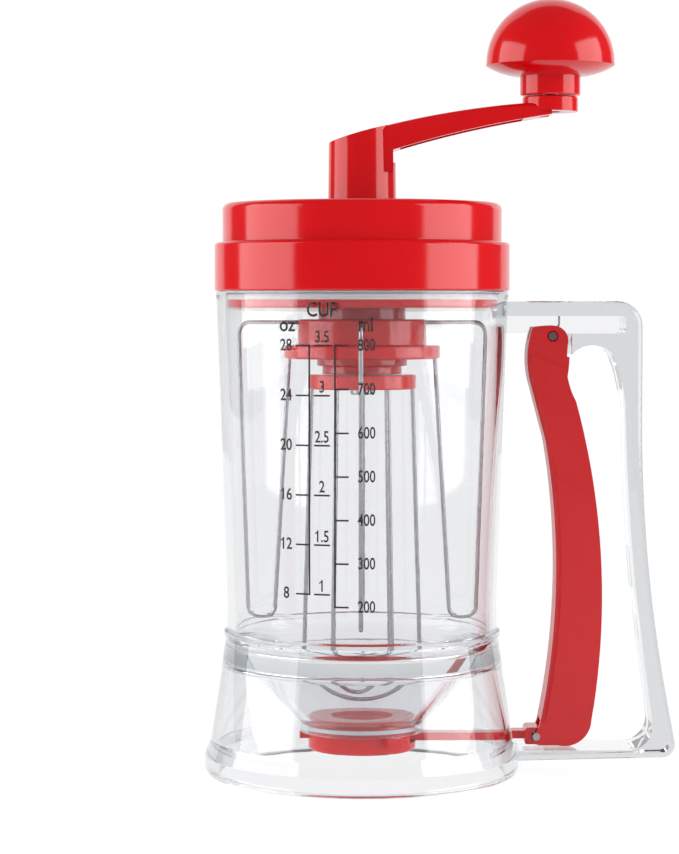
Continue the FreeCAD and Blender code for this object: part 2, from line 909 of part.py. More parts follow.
def gear_wire(teeth, root, tip, thinning, z):
    base = gear_module * teeth / 2 * math.cos(pressure_angle)
    start = max(base, root)
    middle = (start + tip) / 2
    pitch_angle = 360.0 / teeth

    def corner(radius, degrees):
        return spun_point(radius, degrees, z)

    def arc(first, middle, last):
        return Part.Arc(corner(*first), corner(*middle), corner(*last)).toShape()

    foot = math.degrees(half_tooth(teeth, start, thinning))
    waist = math.degrees(half_tooth(teeth, middle, thinning))
    crest = math.degrees(half_tooth(teeth, tip, thinning))
    edges = []
    for i in range(teeth):
        here = pitch_angle * i
        gap = here + pitch_angle / 2
        following = here + pitch_angle
        if start > root:
            edges.append(Part.makeLine(corner(root, here - foot), corner(start, here - foot)))
        edges.append(arc((start, here - foot), (middle, here - waist), (tip, here - crest)))
        edges.append(arc((tip, here - crest), (tip, here), (tip, here + crest)))
        edges.append(arc((tip, here + crest), (middle, here + waist), (start, here + foot)))
        if start > root:
            edges.append(Part.makeLine(corner(start, here + foot), corner(root, here + foot)))
        edges.append(arc((root, here + foot), (root, gap), (root, following - foot)))
    return Part.Wire(edges)


# A toothed prism: its teeth reach inward and outward from the pitch circle
def gear_solid(teeth, inward, outward, thinning, low_z, high_z):
    pitch = gear_module * teeth / 2
    face = Part.Face(gear_wire(teeth, pitch - inward, pitch + outward, thinning, low_z))
    return face.extrude(V(0, 0, high_z - low_z))


def sun_gear():
    shape = gear_solid(sun_teeth, dedendum, addendum, backlash / 2, gear_low_z, gear_top_z)
    return shape.cut(disc(shaft_r, gear_low_z, gear_top_z))


# Each planet shows a gap to the sun's tooth and a gap to the ring's tooth
def planet_gear(index):
    shape = gear_solid(planet_teeth, dedendum, addendum, backlash / 2, gear_low_z, gear_top_z)
    shape = shape.cut(disc(planet_pin_r + run_gap, gear_low_z, gear_top_z))
    shape = spun(shape, 180.0 / planet_teeth)
    shape.translate(V(planet_orbit, 0, 0))
    return spun(shape, 360.0 / planet_count * index)


def ring_drum():
    shape = turned([
        (0, drum_low_z),
        (drum_r, drum_low_z, 0.3),
        (drum_r, drum_top_z, 1.0),
        (0, drum_top_z),
    ])
    teeth = gear_solid(ring_teeth, addendum, dedendum, -backlash / 2, drum_low_z, gear_top_z)
    shape = shape.cut(spun(teeth, 180.0 / ring_teeth))
    shape = shape.cut(disc(ring_r + dedendum, gear_top_z, drum_top_z - drum_lip))
    shape = shape.cut(disc(carrier_neck_r + run_gap, drum_top_z - drum_lip, drum_top_z))
    for i in range(wing_count):
        shape = shape.cut(outer_wing_solid(i, wire_r + socket_gap))
    return shape


def outer_plate():
    step_z = plate_low_z - plate_step_height
    shape = turned([
        (0, plate_end_z),
        (plate_neck_r, plate_end_z, 0.4),
        (plate_neck_r, step_z, 0.4),
        (plate_step_r, step_z, 0.5),
        (plate_step_r, plate_low_z, 0.4),
        (plate_r, plate_low_z, 0.8),
        (plate_r, drum_low_z, 0.8),
        (0, drum_low_z),
    ])
    shape = shape.cut(disc(shaft_r + run_gap, plate_end_z, drum_low_z))
    for i in range(wing_count):
        shape = shape.cut(outer_wing_solid(i, wire_r + socket_gap))
    return shape


# Outer whisk: each wing runs out from the drum, down the wall and back up into the plate
def outer_wing_solid(index, radius):
    top_z = drum_top_z - drum_lip / 2
    leg_slope = (wing_inner_low_r - wing_inner_top_r) / (plate_low_z - wing_low_z)
    end_z = plate_low_z + leg_socket
    end_r = wing_inner_top_r - leg_slope * leg_socket
    path = rounded_edges([
        (drum_r - wing_socket, top_z),
        (wing_top_r, top_z, wing_corner_r),
        (wing_low_r, wing_low_z, wing_corner_r),
        (wing_inner_low_r, wing_low_z, wing_corner_r),
        (end_r, end_z),
    ])
    return spun(round_wire(path, radius), 360.0 / wing_count * index - wing_turn)


# Inner whisk: crossed loops whose round bottoms nest one above the other
def inner_hub():
    shape = turned([
        (0, hub_low_z),
        (hub_r, hub_low_z, 0.6),
        (hub_r, hub_top_z, 0.6),
        (0, hub_top_z),
    ])
    bore_low_z = hub_low_z + screw_head_height / 2
    shape = shape.cut(disc(shaft_r, bore_low_z, hub_top_z))
    shape = shape.cut(disc(screw_r, hub_low_z, hub_top_z))
    for i in range(loop_count):
        shape = shape.cut(inner_loop_solid(i, wire_r + socket_gap))
    return shape


def inner_loop_solid(index, radius):
    low_z = loop_low_z + loop_step * index
    side_height = loop_spring_z - low_z
    side_r = side_height * 0.8
    centre_r = loop_low_r - side_r
    drop = side_height - side_r
    lift = (centre_r ** 2 - drop ** 2) / (2 * drop)
    bottom_r = side_height + lift
    slant = math.atan2(lift, centre_r)
    side_centre = at(centre_r, loop_spring_z)
    top = at(loop_top_r, hub_low_z + loop_socket)
    away = top - side_centre
    start_angle = math.atan2(away.z, away.x) - math.acos(side_r / away.Length)
    middle_angle = (start_angle - slant) / 2

    def on_side(angle):
        return side_centre + at(side_r * math.cos(angle), side_r * math.sin(angle))

    def mirrored(point):
        return at(-point.x, point.z)

    start = on_side(start_angle)
    middle = on_side(middle_angle)
    join = on_side(-slant)
    bottom = at(0, loop_spring_z + lift - bottom_r)
    path = [
        Part.makeLine(top, start),
        Part.Arc(start, middle, join).toShape(),
        Part.Arc(join, bottom, mirrored(join)).toShape(),
        Part.Arc(mirrored(join), mirrored(middle), mirrored(start)).toShape(),
        Part.makeLine(mirrored(start), mirrored(top)),
    ]
    return spun(round_wire(path, radius), 180.0 / loop_count * index)


def drive_shaft():
    low = hub_low_z + screw_head_height / 2
    shape = disc(shaft_r, low, column_z + shaft_grip)
    return shape.cut(disc(screw_r, low, low + screw_length))


def shaft_screw():
    low = hub_low_z - screw_head_height
    head = turned([
        (0, low),
        (screw_head_r, low, 0.6),
        (screw_head_r, hub_low_z),
        (0, hub_low_z),
    ])
    return head.fuse(disc(screw_r, hub_low_z, hub_low_z + screw_head_height / 2 + screw_length))


# Crank: the column and its arched arm, hollowed from below
def arm_side(lower_by):
    z = arm_z - lower_by
    rise = arm_rise
    return curved_outline((-column_r, z + rise * 0.585), [
        (-column_r + 0.7, z + rise * 0.605),
        (arm_reach * 0.3, z + rise * 0.84, arm_reach * 0.86, z + rise - 0.4),
        (arm_reach + arm_end_r, z + arm_end_height - 3.0),
        (arm_reach + arm_end_r, z + arm_end_height - arm_end_thickness),
        (arm_reach * 0.66, z + rise - arm_lower_drop - 2.2, column_r * 0.9, z + rise * 0.52),
        (column_r * 0.9, z + rise * 0.3),
        (-column_r, z + rise * 0.3),
    ])


def arm_plan(inset):
    half = arm_half_width - inset
    end_half = arm_end_half_width - inset
    corners = [
        V(0, -half, 0),
        V(arm_reach, -end_half, 0),
        V(arm_reach, end_half, 0),
        V(0, half, 0),
        V(0, -half, 0),
    ]
    height = arm_z + arm_end_height + 10.0
    return Part.Face(Part.makePolygon(corners)).extrude(V(0, 0, height))


def top_arm_edge(edge):
    box = edge.BoundBox
    return box.XLength > arm_reach * 0.5 and box.ZMin > arm_z + arm_rise * 0.57


def crank_arm():
    top = arm_z + arm_end_height
    side = slab(arm_side(0.0), -column_r - 1.0, column_r + 1.0)
    beam = side.common(arm_plan(0.0))
    beam = rounded(beam, arm_edge_round, top_arm_edge)
    column = Part.makeCone(column_r, column_top_r, column_height + 10.0, V(0, 0, arm_z), UP)
    under_top = slab(arm_side(0.0), -column_r - 1.0, column_r + 1.0)
    under_top = under_top.fuse(disc(column_r + 1.0, arm_z, arm_z + arm_rise * 0.4))
    column = column.common(under_top)
    boss = disc(arm_end_r, top - arm_end_thickness, top, arm_reach)
    boss = rounded(boss, 0.8, lambda e: e.BoundBox.ZMin > top - 1e-3)
    shape = beam.fuse(column).fuse(boss)
    hollow = slab(arm_side(arm_wall), -column_r, column_r).common(arm_plan(arm_wall))
    hollow = hollow.common(block(column_r + 1.5, arm_reach - arm_end_r, -column_r, column_r, arm_z, top))
    below = slab(arm_side(arm_wall + 6.0), -column_r, column_r).common(arm_plan(arm_wall))
    below = below.common(block(column_r + 1.5, arm_reach - arm_end_r, -column_r, column_r, arm_z, top))
    shape = shape.cut(hollow).cut(below)
    shape = shape.cut(disc(shaft_r, arm_z, arm_z + shaft_grip))
    return shape.cut(disc(spindle_r, arm_z, top, arm_reach)).removeSplitter()


def knob_spindle():
    low = arm_z + arm_end_height - arm_end_thickness + 0.6
    hub_top = knob_rim_z + knob_hub_height
    head_z = hub_top + part_gap
    stem = disc(spindle_r, low, head_z)
    head = disc(spindle_head_r, head_z, head_z + spindle_head_height)
    shape = stem.fuse(rounded(head, 0.5, lambda e: e.BoundBox.ZMin > head_z + 1.0))
    shape.translate(V(arm_reach, 0, 0))
    return shape


def knob_base():
    dish_z = knob_z + collar_knob_height
    hub_top = knob_rim_z + knob_hub_height
    inner = knob_r - knob_wall - socket_gap
    face = curved_outline((0.0, knob_z), [
        (collar_knob_r - 0.5, knob_z),
        (collar_knob_r, knob_z + 0.5),
        (collar_knob_r, dish_z),
        (knob_r * 0.78, dish_z + knob_dish * 0.3, knob_r, knob_rim_z - 0.9),
        (knob_r, knob_rim_z),
        (inner, knob_rim_z),
        (inner - part_gap, knob_rim_z + knob_lip),
        (inner - 1.6, knob_rim_z + knob_lip),
        (inner - 1.6, knob_rim_z),
        (knob_hub_r, knob_rim_z - 1.5),
        (knob_hub_r, hub_top),
        (0.0, hub_top),
    ])
    shape = face.revolve(ORIGIN, UP, 360)
    shape = shape.cut(disc(spindle_r + run_gap, knob_z, hub_top))
    shape.translate(V(arm_reach, 0, 0))
    return shape


def knob_cap():
    outer = Part.makeSphere(knob_r - 0.1, V(0, 0, knob_rim_z), UP, 0, 90, 360)
    inner = Part.makeSphere(knob_r - knob_wall, V(0, 0, knob_rim_z), UP, 0, 90, 360)
    shape = outer.cut(inner)
    shape.translate(V(arm_reach, 0, 0))
    return shape


def all_pieces():
    pieces = {
        "jar_body": jar_body(),
        "jar_handle": jar_handle(),
        "trigger_pin": trigger_pin(),
        "trigger_spring": trigger_spring(),
        "valve_seat": valve_seat(),
        "valve_seal": valve_seal(),
        "valve_cup": valve_cup(),
        "trigger_lever": trigger_lever(),
        "link_pin": link_pin(),
        "gate_slide": gate_slide(),
        "lid_cover": lid_cover(),
        "lid_base": lid_base(),
        "lid_seal": lid_seal(),
        "lid_bush": lid_bush(),
        "gear_carrier": gear_carrier(),
        "carrier_nut": carrier_nut(),
        "crank_arm": crank_arm(),
        "drive_shaft": drive_shaft(),
        "sun_gear": sun_gear(),
        "inner_hub": inner_hub(),
        "shaft_screw": shaft_screw(),
        "knob_spindle": knob_spindle(),
        "knob_base": knob_base(),
        "knob_cap": knob_cap(),
        "ring_drum": ring_drum(),
        "outer_plate": outer_plate(),
    }
    for i in range(planet_count):
        turn = 360.0 / planet_count * i
        pieces[f"planet_pin_{i + 1}"] = spun(planet_pin_solid(), turn)
        pieces[f"planet_gear_{i + 1}"] = planet_gear(i)
    for i in range(wing_count):
        pieces[f"outer_wing_{i + 1}"] = outer_wing_solid(i, wire_r)
    for i in range(loop_count):
        pieces[f"inner_loop_{i + 1}"] = inner_loop_solid(i, wire_r)
    return pieces


os.makedirs("parts", exist_ok=True)
for name, shape in all_pieces().items():
    shape.exportStep(f"parts/{name}.step")
    print(name, "solids", len(shape.Solids), "valid", shape.isValid(), "volume", round(shape.Volume, 1))
print("spring's least gap to itself", round(least_gap(spring_edges(), 40), 2))
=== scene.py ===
"""Looks of the batter dispenser: its finishes, the measuring scale printed on the jar, and the
pale studio it is shown in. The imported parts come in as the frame, and the scale is modelled on
the jar's own surface."""

import json
import math

import bpy
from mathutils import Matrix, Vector


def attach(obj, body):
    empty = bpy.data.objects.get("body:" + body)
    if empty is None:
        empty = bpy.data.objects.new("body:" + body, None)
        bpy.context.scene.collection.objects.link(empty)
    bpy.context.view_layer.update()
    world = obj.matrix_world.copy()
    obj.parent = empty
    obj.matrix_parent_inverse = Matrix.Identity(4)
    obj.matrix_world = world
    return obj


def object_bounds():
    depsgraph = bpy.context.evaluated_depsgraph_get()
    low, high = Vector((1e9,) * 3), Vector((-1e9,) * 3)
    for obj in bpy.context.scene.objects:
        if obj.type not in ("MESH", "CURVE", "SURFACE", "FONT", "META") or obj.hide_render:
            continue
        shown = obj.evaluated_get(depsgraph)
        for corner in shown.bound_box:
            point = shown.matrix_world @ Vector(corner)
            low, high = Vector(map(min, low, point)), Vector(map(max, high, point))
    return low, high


bl_info = {
    "name": "Batter Dispenser Looks",
    "version": (1, 0, 0),
    "blender": (4, 5, 0),
    "location": "View3D > Sidebar > Dispenser",
    "description": "Finishes, measuring scale and studio for a batter dispenser",
    "category": "Object",
}

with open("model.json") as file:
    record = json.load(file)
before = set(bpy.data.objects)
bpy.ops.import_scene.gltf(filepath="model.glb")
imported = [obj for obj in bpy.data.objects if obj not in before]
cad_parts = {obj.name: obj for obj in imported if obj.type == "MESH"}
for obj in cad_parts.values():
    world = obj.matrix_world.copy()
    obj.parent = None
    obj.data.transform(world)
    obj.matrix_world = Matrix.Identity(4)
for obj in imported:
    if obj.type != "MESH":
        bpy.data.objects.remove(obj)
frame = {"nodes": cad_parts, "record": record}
CAD_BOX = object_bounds()
NODES = frame["nodes"]
MM = 0.001
CAPITAL_SHARE = 0.69
OPEN_AFTER_BOUNCES = 6
OPEN_AFTER_GLOSSY = 2


# Settings that a user would change


class FinishSettings(bpy.types.PropertyGroup):
    """Colours of the finishes, as they look in plain light."""

    clear: bpy.props.FloatVectorProperty(
        name="Clear Plastic",
        description="Tint of the jar and its grip",
        subtype="COLOR",
        default=(0.935, 0.935, 0.945),
        min=0,
        max=1,
    )
    clear_bend: bpy.props.FloatProperty(
        name="Clear Plastic Bending",
        description="How strongly the clear plastic bends light",
        default=1.49,
        min=1,
        max=2,
    )
    clear_density: bpy.props.FloatProperty(
        name="Clear Plastic Greying",
        description="How fast light is lost along the clear plastic, which greys its edges",
        default=26.0,
        min=0,
    )
    gloss_red: bpy.props.FloatVectorProperty(
        name="Gloss Red",
        description="Lid, crank, knob, drive and valve",
        subtype="COLOR",
        default=(0.6, 0.002, 0.005),
        min=0,
        max=1,
    )
    satin_red: bpy.props.FloatVectorProperty(
        name="Satin Red",
        description="Trigger and gate",
        subtype="COLOR",
        default=(0.56, 0.006, 0.01),
        min=0,
        max=1,
    )
    steel: bpy.props.FloatVectorProperty(
        name="Steel",
        description="Wires, shaft, pins and screw",
        subtype="COLOR",
        default=(0.4, 0.4, 0.415),
        min=0,
        max=1,
    )
    silicone: bpy.props.FloatVectorProperty(
        name="Silicone",
        description="Seals of the lid and valve",
        subtype="COLOR",
        default=(0.82, 0.82, 0.83),
        min=0,
        max=1,
    )
    acetal: bpy.props.FloatVectorProperty(
        name="Acetal",
        description="Gears and bush",
        subtype="COLOR",
        default=(0.86, 0.86, 0.83),
        min=0,
        max=1,
    )
    ink: bpy.props.FloatVectorProperty(
        name="Ink",
        description="Measuring scale",
        subtype="COLOR",
        default=(0.018, 0.016, 0.017),
        min=0,
        max=1,
    )


class ScaleSettings(bpy.types.PropertyGroup):
    """Sizes and places of the printed measuring scale, seen from the front of the jar."""

    top: bpy.props.FloatProperty(
        name="Top Marks",
        description="Height of the highest mark of each column",
        unit="LENGTH",
        default=162.5 * MM,
    )
    cup_step: bpy.props.FloatProperty(
        name="Half Cup Step",
        description="Height between half cups, which is also four ounces",
        unit="LENGTH",
        default=17.95 * MM,
    )
    millilitre_step: bpy.props.FloatProperty(
        name="Millilitre Step",
        description="Height between hundreds of millilitres",
        unit="LENGTH",
        default=15.7 * MM,
    )
    ounce_line: bpy.props.FloatProperty(
        name="Ounce Line",
        description="Place of the ounce column's upright line",
        unit="LENGTH",
        default=-19.3 * MM,
    )
    millilitre_line: bpy.props.FloatProperty(
        name="Millilitre Line",
        description="Place of the millilitre column's upright line",
        unit="LENGTH",
        default=-10.1 * MM,
    )
    tick: bpy.props.FloatProperty(
        name="Tick Length",
        description="Length of a mark beside its line",
        unit="LENGTH",
        default=4.9 * MM,
    )
    line: bpy.props.FloatProperty(
        name="Line Width",
        description="Width of the printed lines",
        unit="LENGTH",
        default=0.62 * MM,
    )
    digit: bpy.props.FloatProperty(
        name="Digit Height",
        description="Height of the numbers",
        unit="LENGTH",
        default=4.1 * MM,
    )
    word: bpy.props.FloatProperty(
        name="Word Height",
        description="Height of the capital letters over the columns",
        unit="LENGTH",
        default=5.0 * MM,
    )
    ink_depth: bpy.props.FloatProperty(
        name="Ink Thickness",
        description="How far the print stands off the jar",
        unit="LENGTH",
        default=0.08 * MM,
    )


class StageSettings(bpy.types.PropertyGroup):
    """Camera, lamps and floor."""

    camera_place: bpy.props.FloatVectorProperty(
        name="Camera",
        description="Where the camera stands",
        subtype="TRANSLATION",
        default=(-8.5 * MM, -981 * MM, 178.8 * MM),
    )
    camera_dip: bpy.props.FloatProperty(
        name="Camera Dip",
        description="How far the camera looks down",
        subtype="ANGLE",
        default=math.radians(2.8),
    )
    lens: bpy.props.FloatProperty(
        name="Lens",
        description="Focal length in millimetres on a 36 mm long side",
        default=109.6,
    )
    floor: bpy.props.FloatProperty(
        name="Floor Width",
        description="Width of the floor and backdrop",
        unit="LENGTH",
        default=3.0,
    )
    room_light: bpy.props.FloatProperty(
        name="Room Light",
        description="Even light from all round",
        default=0.72,
        min=0,
    )
    room_shine: bpy.props.FloatProperty(
        name="Room Shine",
        description="How bright the room is in reflections",
        default=0.14,
        min=0,
    )
    left_power: bpy.props.FloatProperty(
        name="Left Lamp",
        description="Large soft lamp at the left, whose wide reflection lies on the lid",
        unit="POWER",
        default=12.0,
        min=0,
    )
    right_power: bpy.props.FloatProperty(
        name="Right Lamp",
        description="Large soft lamp at the right",
        unit="POWER",
        default=12.0,
        min=0,
    )


# Node groups and materials


def socket(group, name, kind, side, default=None):
    """A named input or output of a shader node group."""
    made = group.interface.new_socket(name=name, in_out=side, socket_type=kind)
    if default is not None:
        made.default_value = default


def placed(tree, kind, x, y, **values):
    """A node of that kind at (x, y), with its settings."""
    node = tree.nodes.new(kind)
    node.location = (x, y)
    for name, value in values.items():
        setattr(node, name, value)
    return node


def worked(tree, operation, first, second, x, y):
    """A Math node of two values, each a socket or a number."""
    node = placed(tree, "ShaderNodeMath", x, y, operation=operation)
    for place, value in enumerate((first, second)):
        if isinstance(value, (int, float)):
            node.inputs[place].default_value = value
        else:
            tree.links.new(value, node.inputs[place])
    return node.outputs[0]


def noise(tree, vector, scale, detail, x, y):
    """A noise texture over the given coordinates."""
    node = placed(tree, "ShaderNodeTexNoise", x, y)
    node.inputs["Detail"].default_value = detail
    tree.links.new(vector, node.inputs["Vector"])
    if isinstance(scale, (int, float)):
        node.inputs["Scale"].default_value = scale
    else:
        tree.links.new(scale, node.inputs["Scale"])
    return node.outputs["Fac"]


def moulded_group():
    """The skin of moulded plastic and rubber: slow flow marks, a fine grain and hair scratches."""
    tree = bpy.data.node_groups.get("Moulded Skin")
    if tree:
        return tree
    tree = bpy.data.node_groups.new("Moulded Skin", "ShaderNodeTree")
    socket(tree, "Position", "NodeSocketVector", "INPUT")
    socket(tree, "Plain Roughness", "NodeSocketFloat", "INPUT", 0.2)
    socket(tree, "Roughness Spread", "NodeSocketFloat", "INPUT", 0.1)
    socket(tree, "Flow Scale", "NodeSocketFloat", "INPUT", 30.0)
    socket(tree, "Grain Scale", "NodeSocketFloat", "INPUT", 900.0)
    socket(tree, "Scratches", "NodeSocketFloat", "INPUT", 0.1)
    socket(tree, "Roughness", "NodeSocketFloat", "OUTPUT")
    socket(tree, "Height", "NodeSocketFloat", "OUTPUT")
    socket(tree, "Tone", "NodeSocketFloat", "OUTPUT")
    given = placed(tree, "NodeGroupInput", -900, 0)
    out = placed(tree, "NodeGroupOutput", 700, 0)
    flow = noise(tree, given.outputs["Position"], given.outputs["Flow Scale"], 2, -600, 250)
    grain = noise(tree, given.outputs["Position"], given.outputs["Grain Scale"], 3, -600, 0)
    along = placed(tree, "ShaderNodeMapping", -750, -300)
    along.inputs["Scale"].default_value = (1, 1, 0.06)
    along.inputs["Rotation"].default_value = (0.3, 0.2, 0)
    tree.links.new(given.outputs["Position"], along.inputs["Vector"])
    streaks = noise(tree, along.outputs["Vector"], 1400.0, 1, -550, -300)
    sharp = placed(tree, "ShaderNodeMapRange", -350, -300)
    sharp.inputs["From Min"].default_value = 0.66
    sharp.inputs["From Max"].default_value = 0.76
    tree.links.new(streaks, sharp.inputs["Value"])
    marks = worked(tree, "MULTIPLY", sharp.outputs[0], given.outputs["Scratches"], -100, -300)
    centred = worked(tree, "SUBTRACT", flow, 0.5, -350, 250)
    spread = worked(tree, "MULTIPLY", centred, given.outputs["Roughness Spread"], -150, 250)
    base = worked(tree, "ADD", spread, given.outputs["Plain Roughness"], 50, 250)
    rough = worked(tree, "ADD", base, marks, 250, 250)
    skin = worked(tree, "MULTIPLY", grain, 0.3, -100, 0)
    height = worked(tree, "ADD", skin, flow, 100, 0)
    scored = worked(tree, "SUBTRACT", height, marks, 300, 0)
    tree.links.new(rough, out.inputs["Roughness"])
    tree.links.new(scored, out.inputs["Height"])
    tree.links.new(flow, out.inputs["Tone"])
    return tree


def material_start(name):
    """A new material with its Principled shader, output and Object coordinates."""
    made = bpy.data.materials.new(name)
    made.use_nodes = True
    tree = made.node_tree
    tree.nodes.clear()
    shader = placed(tree, "ShaderNodeBsdfPrincipled", 300, 0)
    out = placed(tree, "ShaderNodeOutputMaterial", 900, 0)
    tree.links.new(shader.outputs[0], out.inputs["Surface"])
    coordinates = placed(tree, "ShaderNodeTexCoord", -1000, 0)
    return made, tree, shader, out, coordinates.outputs["Object"]


def moulded_skin(tree, shader, position, roughness, spread, flow, grain, scratches, depth):
    """Places the moulded skin group on a shader, and returns its tone."""
    skin = placed(tree, "ShaderNodeGroup", -700, 0, node_tree=moulded_group())
    tree.links.new(position, skin.inputs["Position"])
    values = (roughness, spread, flow, grain, scratches)
    names = ("Plain Roughness", "Roughness Spread", "Flow Scale", "Grain Scale", "Scratches")
    for name, value in zip(names, values):
        skin.inputs[name].default_value = value
    bump = placed(tree, "ShaderNodeBump", 50, -250)
    bump.inputs["Distance"].default_value = depth
    bump.inputs["Strength"].default_value = 1
    tree.links.new(skin.outputs["Height"], bump.inputs["Height"])
    tree.links.new(bump.outputs[0], shader.inputs["Normal"])
    tree.links.new(skin.outputs["Roughness"], shader.inputs["Roughness"])
    return skin.outputs["Tone"]


def toned(tree, shader, tone, colour, darker):
    """Gives the shader a colour that drifts a little darker with the tone."""
    mix = placed(tree, "ShaderNodeMix", 0, 250, data_type="RGBA")
    mix.inputs["A"].default_value = (*[c * darker for c in colour], 1)
    mix.inputs["B"].default_value = (*colour, 1)
    tree.links.new(tone, mix.inputs["Factor"])
    tree.links.new(mix.outputs["Result"], shader.inputs["Base Color"])


def clear_plastic(settings):
    """Clear moulded plastic that greys along its edges and lets the lamps through. A ray that has
    turned many times goes straight on, because the renderer would otherwise end it in black."""
    made, tree, shader, out, position = material_start("Clear Plastic")
    shader.inputs["Base Color"].default_value = (*settings.clear, 1)
    shader.inputs["Transmission Weight"].default_value = 1
    shader.inputs["IOR"].default_value = settings.clear_bend
    moulded_skin(tree, shader, position, 0.012, 0.015, 22.0, 260.0, 0.02, 0.02 * MM)
    lost = placed(tree, "ShaderNodeVolumeAbsorption", 600, -250)
    lost.inputs["Color"].default_value = (0.5, 0.54, 0.56, 1)
    lost.inputs["Density"].default_value = settings.clear_density
    tree.links.new(lost.outputs[0], out.inputs["Volume"])
    path = placed(tree, "ShaderNodeLightPath", 300, 400)
    open_way = placed(tree, "ShaderNodeBsdfTransparent", 300, 100)
    open_way.inputs["Color"].default_value = (0.9, 0.91, 0.92, 1)
    mix = placed(tree, "ShaderNodeMixShader", 650, 100)
    depth = path.outputs["Ray Depth"]
    glossy = path.outputs["Glossy Depth"]
    deep = worked(tree, "GREATER_THAN", depth, OPEN_AFTER_BOUNCES, 500, 400)
    turned = worked(tree, "GREATER_THAN", glossy, OPEN_AFTER_GLOSSY, 500, 550)
    either = worked(tree, "MAXIMUM", turned, deep, 600, 500)
    straight = worked(tree, "MAXIMUM", path.outputs["Is Shadow Ray"], either, 650, 400)
    tree.links.new(straight, mix.inputs[0])
    tree.links.new(shader.outputs[0], mix.inputs[1])
    tree.links.new(open_way.outputs[0], mix.inputs[2])
    tree.links.new(mix.outputs[0], out.inputs["Surface"])
    return made


def gloss_red_plastic(settings):
    """Polished red plastic with a faint orange peel."""
    made, tree, shader, out, position = material_start("Gloss Red Plastic")
    tone = moulded_skin(tree, shader, position, 0.13, 0.07, 35.0, 420.0, 0.08, 0.02 * MM)
    toned(tree, shader, tone, settings.gloss_red, 0.9)
    shader.inputs["IOR"].default_value = 1.5
    return made


def satin_red_plastic(settings):
    """Softer red plastic of the trigger and the gate."""
    made, tree, shader, out, position = material_start("Satin Red Plastic")
    tone = moulded_skin(tree, shader, position, 0.3, 0.12, 40.0, 700.0, 0.08, 0.03 * MM)
    toned(tree, shader, tone, settings.satin_red, 0.88)
    shader.inputs["IOR"].default_value = 1.5
    return made


def silicone_rubber(settings):
    """Milky silicone of the seals."""
    made, tree, shader, out, position = material_start("Silicone Rubber")
    tone = moulded_skin(tree, shader, position, 0.5, 0.12, 60.0, 1100.0, 0.02, 0.03 * MM)
    toned(tree, shader, tone, settings.silicone, 0.93)
    shader.inputs["Subsurface Weight"].default_value = 0.2
    shader.inputs["Subsurface Radius"].default_value = (0.003, 0.003, 0.003)
    return made


def acetal_plastic(settings):
    """Natural acetal of the gears and the bush."""
    made, tree, shader, out, position = material_start("Acetal")
    tone = moulded_skin(tree, shader, position, 0.38, 0.1, 80.0, 900.0, 0.05, 0.02 * MM)
    toned(tree, shader, tone, settings.acetal, 0.94)
    return made


def drawn_steel(settings):
    """Bright steel, with the fine lines of drawing and turning."""
    made, tree, shader, out, position = material_start("Drawn Steel")
    shader.inputs["Metallic"].default_value = 1
    along = placed(tree, "ShaderNodeMapping", -800, 0)
    along.inputs["Scale"].default_value = (1, 1, 0.05)
    tree.links.new(position, along.inputs["Vector"])
    lines = noise(tree, along.outputs["Vector"], 2600.0, 2, -600, 0)
    patches = noise(tree, position, 70.0, 2, -600, 250)
    wide = worked(tree, "MULTIPLY", patches, 0.16, -350, 250)
    fine = worked(tree, "MULTIPLY", lines, 0.14, -350, 0)
    both = worked(tree, "ADD", wide, fine, -150, 100)
    rough = worked(tree, "ADD", both, 0.1, 50, 100)
    tree.links.new(rough, shader.inputs["Roughness"])
    toned(tree, shader, lines, settings.steel, 0.72)
    bump = placed(tree, "ShaderNodeBump", 50, -250)
    bump.inputs["Distance"].default_value = 0.01 * MM
    tree.links.new(lines, bump.inputs["Height"])
    tree.links.new(bump.outputs[0], shader.inputs["Normal"])
    return made


def scale_ink(settings):
    """Dark screen ink, a little uneven where the screen left it thin."""
    made, tree, shader, out, position = material_start("Scale Ink")
    tone = moulded_skin(tree, shader, position, 0.4, 0.15, 220.0, 1800.0, 0.03, 0.01 * MM)
    toned(tree, shader, tone, settings.ink, 0.7)
    return made


# Pieces


def finish_nodes(slot, material):
    """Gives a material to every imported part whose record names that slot."""
    for row in frame["record"]["subparts"]:
        if row["material_slot"] == slot:
            mesh = NODES[row["node"]].data
            mesh.materials.clear()
            mesh.materials.append(material)


def only(objects):
    """Selects these objects alone, and makes the first one active."""
    bpy.ops.object.select_all(action="DESELECT")
    for item in objects:
        item.select_set(True)
    bpy.context.view_layer.objects.active = objects[0]


def stand_up(item, x, z):
    """Turns a flat mesh to face the front, with its origin at (x, z) ahead of the jar."""
    only([item])
    item.rotation_euler = (math.radians(90), 0, 0)
    item.location = (x, CAD_BOX[0][1] - 10 * MM, z)
    bpy.ops.object.transform_apply(location=True, rotation=True, scale=True)
    return item


def bar(x, z, width, height):
    """A flat printed bar, cut often enough along its length to lie on the jar's curve."""
    rows = max(1, round(height / (4 * MM)))
    columns = max(1, round(width / (1 * MM)))
    bpy.ops.object.select_all(action="DESELECT")
    bpy.ops.mesh.primitive_grid_add(x_subdivisions=columns, y_subdivisions=rows, size=1)
    item = bpy.context.active_object
    item.scale = (width, height, 1)
    return stand_up(item, x, z)


